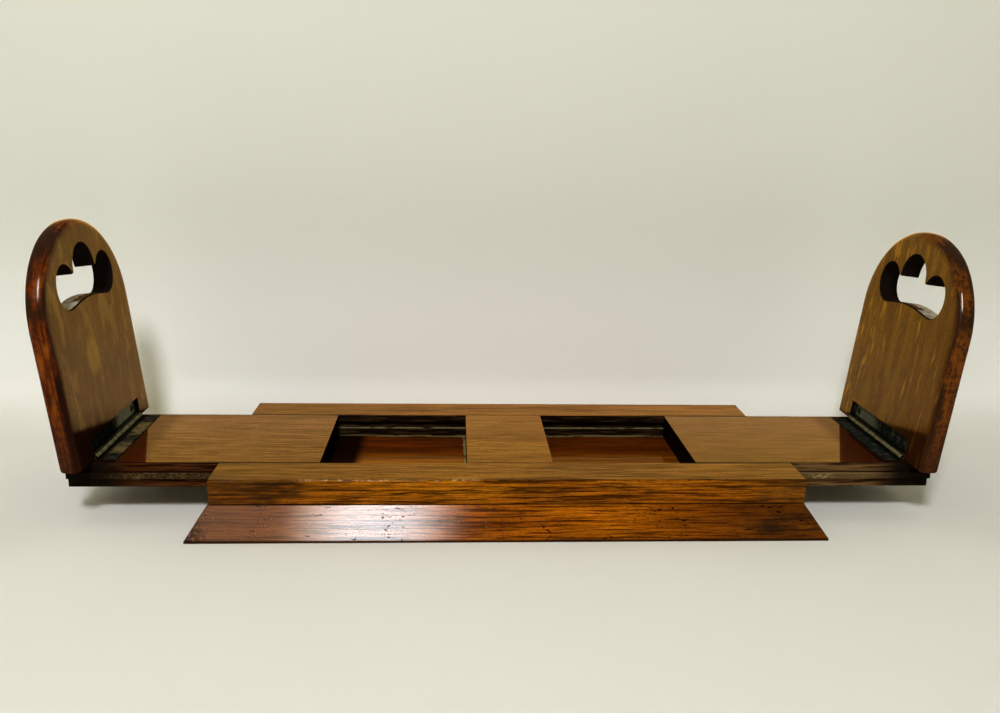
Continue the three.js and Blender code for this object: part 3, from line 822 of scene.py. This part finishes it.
def worn_end(g, look):
    """Rounded edges polished redder and darker than the faces, a hand hole painted dark as shade.
    """
    x, y, z = g.split(g.place)
    nx, ny, nz = g.split(g.facing)
    out, wide = g.size(nx), g.size(y)
    inward = g.step(g.times(nx, x), *INWARD)
    edge = g.step(out, *EDGE_FACING)

    # The edge, followed round the arch by its depth and run
    depth = g.less(g.size(x), g.times(g.less(z, FRAME_TOP), LEAN_SLOPE))
    rise = g.most(g.less(z, SHOULDER), 0.0)
    turn = g.math("ARCTAN2", g.times(rise, END_HALF / ARCH_RISE), wide)
    run = g.plus(g.math("MINIMUM", z, SHOULDER), g.times(turn, ARCH_RUN))
    red, streak = edge_tone(g, x, g.step(y, *REAR_SHIFT), depth, run)
    colour = g.stain(look["colour"], BY_FRONT, g.step(y, *FRONT_OUT), g.step(x, *RIGHT_END))
    colour = g.mix(edge, colour, red)
    # Painted dark reflection: the edges darker towards the foot
    colour = g.stain(colour, FOOT_DARK_REFLECTION, g.step(z, *NEAR_FOOT_UP), edge)

    # A painted dark reflection along the crease beside the inner face, and soot with a painted dark
    # reflection over the hinge
    # Painted dark reflection: a dark band where the edge rounds into the inner face
    crease_reflection = g.times(g.between(out, *CREASE_ZONE), inward, g.step(z, *CREASE_UP),
                     g.by_half(x, *CREASE_SHARE))
    colour = g.stain(colour, CREASE_DARK_REFLECTION, crease_reflection)
    # Soot and a painted dark reflection: the inner face dark below a sloping line over the hinge
    sooty = g.times(g.step(g.plus(z, g.times(y, FOOT_SOOT_REFLECTION_SLOPE)), *FOOT_SOOT_REFLECTION_UP), inward,
                    g.step(out, *FACE_FACING), g.by_half(x, *FOOT_SOOT_REFLECTION_SHARE))
    colour = g.stain(colour, FOOT_SOOT_AND_REFLECTION, sooty)

    # The hand hole, painted dark as shade with painted light on its floor, and the cut that the
    # leaf is let into, painted dark as shade with grime
    low = g.times(g.step(wide, *HOLE_LOW_HALF), g.between(z, *HOLE_LOW_ZONE))
    # Painted shade: the hand hole's walls near black
    wall = g.times(g.most(g.oval(y, z, *HOLE_OVAL), low), g.step(out, *HOLE_WALL_FACING))
    colour = g.stain(colour, HOLE_WALL_SHADE, wall)
    floor = g.times(wall, g.step(nz, *FLOOR_FACING), g.step(y, *FLOOR_FRONT))
    # Painted light on the hole's floor, with a painted shadow line under its ridge
    colour = g.stain(colour, (hole_floor_tone(g, y, depth), FLOOR_SHARE), floor)
    sides = g.times(g.between(wide, *LET_IN_SIDE_ZONE), g.toward(g.size(ny)))
    ceiling = g.times(g.step(nz, *FACING_AWAY), g.step(wide, *LET_IN_TOP_HALF))
    let_in = g.times(g.most(sides, ceiling), g.between(z, *LET_IN_UP_ZONE))
    look["colour"] = g.stain(colour, SEAT_SHADE_AND_GRIME, let_in)
    look["rough"] = g.blend(edge, look["rough"], EDGE_ROUGH)
    look["height"] = g.times(look["height"], g.keep(edge, EDGE_SMOOTHED))
    polish = g.blend(edge, look["coat"], g.step(streak, *EDGE_POLISH))
    look["coat"] = g.times(polish, g.keep(g.most(sooty, g.times(crease_reflection, CREASE_LOSS)), SOOT_AND_REFLECTION_LOSS),
                           g.keep(g.most(wall, let_in), BARE_LOSS))


def marked_end(g, look):
    """The left end's paler patches, yellow rub mark and dark dot."""
    _, y, z = g.split(g.place)
    colour = g.stain(look["colour"], PALE, g.pattern(*PALE_PATTERN))
    colour = g.stain(colour, BROWN, g.pattern(*BROWN_PATTERN))
    inner = g.toward(g.split(g.facing)[0])
    colour = g.stain(colour, RUB, g.oval(y, z, *RUB_OVAL), inner)
    look["colour"] = g.stain(colour, DOT, g.oval(y, z, *DOT_OVAL), inner)
    worn_end(g, look)


def aged_metal(name, colour, worn, rough=(0.35, 0.6), seed=0.0, wear=0.35, metal=(0.75, 1.0),
               shine=0.3, extra=None):
    """Old metal: mottled patina, worn bright in patches, fine scratches."""
    g = Graph(name)
    place = g.vector("ADD", g.place, scaled(METAL_SHIFT, seed))
    mottle = g.noise(place, *METAL_MOTTLE)
    fine = g.noise(place, METAL_FINE)
    scratch = g.noise(g.vector("MULTIPLY", place, METAL_SCRATCH))
    worn_share = g.times(g.step(mottle, *METAL_WORN_STEP), wear)
    pits = scaled(colour, METAL_PIT), METAL_PIT_SHARE
    look = {
        "colour": g.stain(g.mix(worn_share, colour, worn), pits, g.step(fine, *METAL_FINE_STEP)),
        "metal": g.blend(worn_share, *metal),
    }
    if extra:
        extra(g, look)
    height = g.plus(g.times(fine, METAL_FINE_DEPTH), g.times(scratch, METAL_SCRATCH_DEPTH))
    return g.finish(Base_Color=look["colour"], Metallic=look["metal"], Specular_IOR_Level=shine,
                    Roughness=g.step(mottle, *ROUGH_STEP, rough[1], rough[0]),
                    Normal=g.bump(height, *METAL_BUMP))


def barrel_shaded_leaf(g, look):
    """Painted shade black either side of the barrel, which is worn bright and given a painted
    highlight along its top.
    """
    x, _, z = g.split(g.place)
    nx, _, nz = g.split(g.facing)
    off_x, off_z = g.less(g.size(x), PIN_OUT), g.less(z, PIN_UP)
    reach = g.math("SQRT", g.plus(g.times(off_x, off_x), g.times(off_z, off_z)))
    # Painted shade: the leaf black close round the barrel
    barrel_shade = g.step(reach, *BARREL_SHADE_REACH)
    colour = g.stain(look["colour"], BARREL_SHADE, barrel_shade)
    # Worn bright and painted lit: the barrel's crest that faces up and out
    crest = g.plus(g.times(g.size(nx), BARREL_CREST_OUT), g.times(nz, BARREL_CREST_UP))
    worn_and_lit = g.times(g.step(crest, *BARREL_CREST_STEP), g.step(reach, *BARREL_REACH))
    patchy = g.pattern(*BARREL_PATTERN, *BARREL_RANGE)
    look["colour"] = g.mix(g.times(worn_and_lit, patchy), colour, BARREL_WEAR_AND_HIGHLIGHT)
    look["metal"] = g.times(look["metal"], g.without(barrel_shade))


def rear_worn_leaf(g, look):
    """A leaf black at the front and rubbed grey towards the back."""
    x, y, _ = g.split(g.place)
    grey = g.times(g.step(y, *GREY_FRONT), g.step(y, *GREY_REAR), g.by_half(x, *GREY_SHARE),
                   g.pattern(*GREY_PATTERN))
    look["colour"] = g.mix(grey, look["colour"], GREY)
    barrel_shaded_leaf(g, look)


def patchy_leaf(g, look):
    """A leaf with two olive patches between black ones."""
    y = g.split(g.place)[1]
    olive = g.most(g.between(y, *OLIVE_REAR_ZONE), g.between(y, *OLIVE_FRONT_ZONE))
    look["colour"] = g.stain(look["colour"], OLIVE, olive, g.pattern(*OLIVE_PATTERN))
    barrel_shaded_leaf(g, look)


def paper():
    """Pale paper with painted light at the foot of the wall, a little darker up the wall, a painted
    warm glow in the polish, unseen from behind.
    """
    g = Graph("paper_sweep")
    x, _, height = g.split(g.place)
    # Painted light: the paper paler at the foot of the wall
    colour = g.mix(g.step(height, *PAPER_FOOT_RISE), PAPER_FLOOR_COLOUR, PAPER_LIT_FOOT_COLOUR)
    colour = g.mix(g.step(height, *PAPER_RISE), colour, PAPER_WALL_COLOUR)
    colour = g.mix(g.pattern(*PAPER_GREY_PATTERN, 0.0, PAPER_GREY_SHARE), colour, PAPER_GREY)
    shader = g.add("ShaderNodeBsdfDiffuse")
    g.put(shader.inputs["Color"], colour)
    # Painted reflection: the paper glows, seen only in the polish
    glow = g.add("ShaderNodeEmission")
    lit = g.times(g.step(g.size(x), *GLOW_SIDE), g.step(height, *GLOW_FOOT),
                  g.step(height, *GLOW_TOP))
    warm = g.mix(g.step(height, *PAPER_GLOW_RISE), PAPER_GLOW_LOW, PAPER_GLOW_HIGH)
    g.put(glow.inputs["Color"], g.mix(lit, PAPER_DIM, warm))
    in_gloss = g.add("ShaderNodeLightPath").outputs["Is Glossy Ray"]
    behind = g.add("ShaderNodeNewGeometry").outputs["Backfacing"]
    for share, other in ((in_gloss, glow), (behind, g.add("ShaderNodeBsdfTransparent"))):
        both = g.add("ShaderNodeMixShader")
        g.put(both.inputs[0], share)
        g.tree.links.new(shader.outputs[0], both.inputs[1])
        g.tree.links.new(other.outputs[0], both.inputs[2])
        shader = both
    return g.show(shader)


def paint(node, material):
    slots = NODES[node].data.materials
    slots.clear()
    slots.append(material)


def join_tree():
    """Joins the loaded triangles along their edges and shades all but sharp edges smooth."""
    tree = bpy.data.node_groups.new("joined_faces", "GeometryNodeTree")
    for way in ("INPUT", "OUTPUT"):
        tree.interface.new_socket("Geometry", in_out=way, socket_type="NodeSocketGeometry")
    start = tree.nodes.new("NodeGroupInput")
    merge = tree.nodes.new("GeometryNodeMergeByDistance")
    merge.inputs["Distance"].default_value = JOIN_REACH
    bare = tree.nodes.new("GeometryNodeRemoveAttribute")
    bare.inputs["Name"].default_value = "custom_normal"
    smooth = tree.nodes.new("GeometryNodeSetShadeSmooth")
    turn = tree.nodes.new("GeometryNodeInputMeshEdgeAngle")
    sharp = tree.nodes.new("FunctionNodeCompare")
    sharp.operation = "GREATER_THAN"
    sharp.inputs[1].default_value = SHARP_TURN
    crisp = tree.nodes.new("GeometryNodeSetShadeSmooth")
    crisp.domain = "EDGE"
    crisp.inputs["Shade Smooth"].default_value = False
    end = tree.nodes.new("NodeGroupOutput")
    chain = (start, bare, merge, smooth, crisp, end)
    for a, b in zip(chain, chain[1:]):
        tree.links.new(a.outputs[0], b.inputs[0])
    tree.links.new(turn.outputs[0], sharp.inputs[0])
    tree.links.new(sharp.outputs[0], crisp.inputs["Selection"])
    return tree


def soften(node, tree, width):
    """Joins a node's faces, rounds a board's sharp edges a little, keeps flat faces flat."""
    modifiers = NODES[node].modifiers
    modifiers.new("joined_faces", "NODES").node_group = tree
    if width:
        bevel = modifiers.new("soft_edges", "BEVEL")
        bevel.width = width
        bevel.segments = 2
        bevel.limit_method = "ANGLE"
        bevel.angle_limit = SHARP_TURN
    level = modifiers.new("flat_faces", "WEIGHTED_NORMAL")
    level.keep_sharp = True


def add_object(name, data):
    item = bpy.data.objects.new(name, data)
    bpy.context.scene.collection.objects.link(item)
    return item


def add_sheet(name, verts, faces, material):
    mesh = bpy.data.meshes.new(name)
    mesh.from_pydata(verts, [], faces)
    mesh.materials.append(material)
    return add_object(name, mesh)


def aim(item, place, target):
    item.location = place
    item.rotation_euler = (Vector(target) - Vector(place)).to_track_quat("-Z", "Y").to_euler()


def make_sweep():
    """One sheet of paper: floor, cove and wall, facing the rack, and a floor behind it."""
    near = PAPER_WALL_Y - PAPER_COVE
    profile = [(PAPER_FRONT, 0.0), (near, 0.0)]
    for i in range(1, COVE_STEPS + 1):
        turn = math.pi / 2 * i / COVE_STEPS
        profile.append((near + PAPER_COVE * math.sin(turn), PAPER_COVE * (1 - math.cos(turn))))
    profile.append((PAPER_WALL_Y, PAPER_HEIGHT))
    verts = [(side, y, z) for y, z in profile for side in (-PAPER_SIDE, PAPER_SIDE)]
    faces = [(2 * i, 2 * i + 1, 2 * i + 3, 2 * i + 2) for i in range(len(profile) - 1)]
    sweep = add_sheet("paper_sweep", verts, faces, paper())
    sweep.data.polygons.foreach_set("use_smooth", [True] * len(faces))
    sweep.visible_shadow = False
    corners = [(-PAPER_SIDE, near, 0), (PAPER_SIDE, near, 0),
               (PAPER_SIDE, -PAPER_FRONT, 0), (-PAPER_SIDE, -PAPER_FRONT, 0)]
    add_sheet("floor_behind", corners, [(0, 1, 2, 3)], paper())


def make_lamp(name, place, target, size, power, colour):
    """A soft round lamp that doesn't show in the polish."""
    data = bpy.data.lights.new(name, "AREA")
    data.shape = "DISK"
    data.size = size
    data.energy = power
    data.color = colour
    lamp = add_object(name, data)
    aim(lamp, place, target)
    lamp.visible_glossy = False


def make_card(name, place, target, half, foot, head, strength, colour, rim):
    """A soft-edged window that shows only in the polish."""
    g = Graph(name)
    x, y, _ = g.split(g.place)
    off = g.size(x)
    level = g.times(g.step(y, -foot, -WINDOW_FADE * foot), g.step(y, head, WINDOW_HEAD_FADE * head))
    glow = g.add("ShaderNodeEmission")
    g.put(glow.inputs["Color"],
          g.mix(g.step(off, WINDOW_RIM[0] * half, WINDOW_RIM[1] * half), colour, rim))
    g.put(glow.inputs["Strength"],
          g.times(level, g.step(off, half, WINDOW_FADE * half, 0.0, strength)))
    corners = [(-half, -foot, 0), (half, -foot, 0), (half, head, 0), (-half, head, 0)]
    card = add_sheet(name, corners, [(0, 1, 2, 3)], g.show(glow))
    aim(card, place, target)
    card.visible_camera = False
    card.visible_diffuse = False
    card.visible_shadow = False
    card.visible_transmission = False


def make_camera():
    data = bpy.data.cameras.new("camera")
    data.lens = CAMERA_LENS
    data.sensor_width = CAMERA_SENSOR
    data.sensor_fit = "HORIZONTAL"
    data.shift_x, data.shift_y = CAMERA_SHIFT
    data.clip_start = CAMERA_NEAR
    camera = add_object("camera", data)
    camera.location = CAMERA_PLACE
    camera.rotation_euler = [math.radians(v) for v in CAMERA_TURN]
    bpy.context.scene.camera = camera


def make_world():
    """Even warm light, a dim room in the polish, a pale background."""
    world = bpy.data.worlds.new("room")
    world.use_nodes = True
    tree = world.node_tree
    path = tree.nodes.new("ShaderNodeLightPath")
    colour = tree.nodes.new("ShaderNodeRGB").outputs[0]
    colour.default_value = (*WORLD_LIGHT, 1)
    for ray, seen in (("Is Glossy Ray", WORLD_IN_GLOSS), ("Is Camera Ray", WORLD_SEEN)):
        mix = tree.nodes.new("ShaderNodeMix")
        mix.data_type = "RGBA"
        tree.links.new(path.outputs[ray], mix.inputs[0])
        tree.links.new(colour, mix.inputs[6])
        mix.inputs[7].default_value = (*seen, 1)
        colour = mix.outputs[2]
    tree.links.new(colour, tree.nodes["Background"].inputs["Color"])
    bpy.context.scene.world = world


# Wood: what alike pieces share, then each piece
RAIL = dict(light=(0.200, 0.070, 0.003), dark=(0.112, 0.035, 0.001), sheen=0.02,
            extra=soiled_rail)
SLIDE = dict(rings=0.4, fine=0.6, coat=0.64, gloss=0.06, sheen=0.0, ripple=0.6,
             extra=soiled_slide)
END = dict(along="z", rings=0.8, fine=0.3, coat=0.30, sheen=0.0, veil=0.15, ripple=0.5,
           relief=0.3)
WOOD = {
    "front_rail": dict(seed=1.0, streak=1.05, fine=1.25, coat=0.38, **RAIL),
    "back_rail": dict(seed=2.0, streak=0.7, fine=0.7, coat=0.30, **RAIL),
    "centre_block": dict(light=(0.205, 0.076, 0.004), dark=(0.14, 0.050, 0.003), seed=3.0,
                         streak=0.7, fine=0.6, coat=0.35, sheen=0.02, extra=soiled_slide),
    "base_board": dict(light=(0.40, 0.112, 0.002), dark=(0.25, 0.062, 0.001), seed=4.0,
                       fine=0.8, coat=0.72, gloss=0.08, sheen=0.0, veil=0.14, ripple=0.25,
                       relief=0.08, extra=soiled_base),
    "left_slide": dict(light=(0.056, 0.0035, 0.0008), dark=(0.032, 0.002, 0.0005), seed=5.0,
                       streak=0.8, veil=0.32, **SLIDE),
    "right_slide": dict(light=(0.040, 0.0025, 0.0010), dark=(0.024, 0.0015, 0.0006), seed=6.0,
                        streak=0.45, veil=0.19, **SLIDE),
    "left_end": dict(light=(0.104, 0.053, 0.020), dark=(0.070, 0.034, 0.013), seed=7.0,
                     streak=0.12, flecks=0.2, gloss=0.16, extra=marked_end, **END),
    "right_end": dict(light=(0.150, 0.066, 0.006), dark=(0.080, 0.033, 0.006), seed=8.0,
                      streak=0.22, flecks=0.8, gloss=0.09, extra=worn_end, **END),
}
SOFT_EDGED = [node for node in WOOD if not node.endswith("_end")]

# Metal: the four leaves, then the pins, the leaf screws and the steel screws
LEAF = dict(rough=(0.45, 0.7), metal=(0.0, 0.06), wear=0.8, shine=0.0)
LEAVES = {
    "left_end_leaf": dict(colour=(0.003, 0.004, 0.004), worn=(0.012, 0.015, 0.013),
                          extra=rear_worn_leaf),
    "left_slide_leaf": dict(colour=(0.016, 0.015, 0.010), worn=(0.060, 0.056, 0.036),
                            seed=0.3, extra=patchy_leaf),
    "right_end_leaf": dict(colour=(0.006, 0.008, 0.007), worn=(0.040, 0.048, 0.036),
                           seed=0.6, extra=rear_worn_leaf),
    "right_slide_leaf": dict(colour=(0.008, 0.010, 0.008), worn=(0.060, 0.062, 0.040),
                             seed=0.9, extra=barrel_shaded_leaf),
}

make_camera()
make_world()
make_sweep()
make_lamp("key", KEY_PLACE, KEY_AIM, KEY_SIZE, KEY_POWER, KEY_COLOUR)
make_lamp("fill", FILL_PLACE, FILL_AIM, FILL_SIZE, FILL_POWER, FILL_COLOUR)
make_card("window_card", WINDOW_PLACE, KEY_AIM, *WINDOW)
make_card("side_card", SIDE_PLACE, KEY_AIM, *SIDE_WINDOW)
bpy.context.scene.view_settings.view_transform = "Standard"

for name, look in WOOD.items():
    paint(name, oak(name + "_oak", **look))
for name, look in LEAVES.items():
    paint(name, aged_metal(name + "_brass", **look, **LEAF))
pin = aged_metal("pin_brass", (0.06, 0.06, 0.04), (0.20, 0.18, 0.12))
leaf_screw = aged_metal("screw_brass", (0.006, 0.007, 0.006), (0.070, 0.075, 0.055),
                        metal=(0.1, 0.3), shine=0.0)
steel = aged_metal("screw_steel", (0.16, 0.15, 0.14), (0.30, 0.28, 0.26))
for name in NODES:
    if name.endswith("_pin"):
        paint(name, pin)
    elif "_leaf_screw_" in name:
        paint(name, leaf_screw)
    elif "screw" in name:
        paint(name, steel)

joined = join_tree()
for name in NODES:
    soften(name, joined, EDGE_ROUND if name in SOFT_EDGED else 0.0)

bpy.context.view_layer.update()
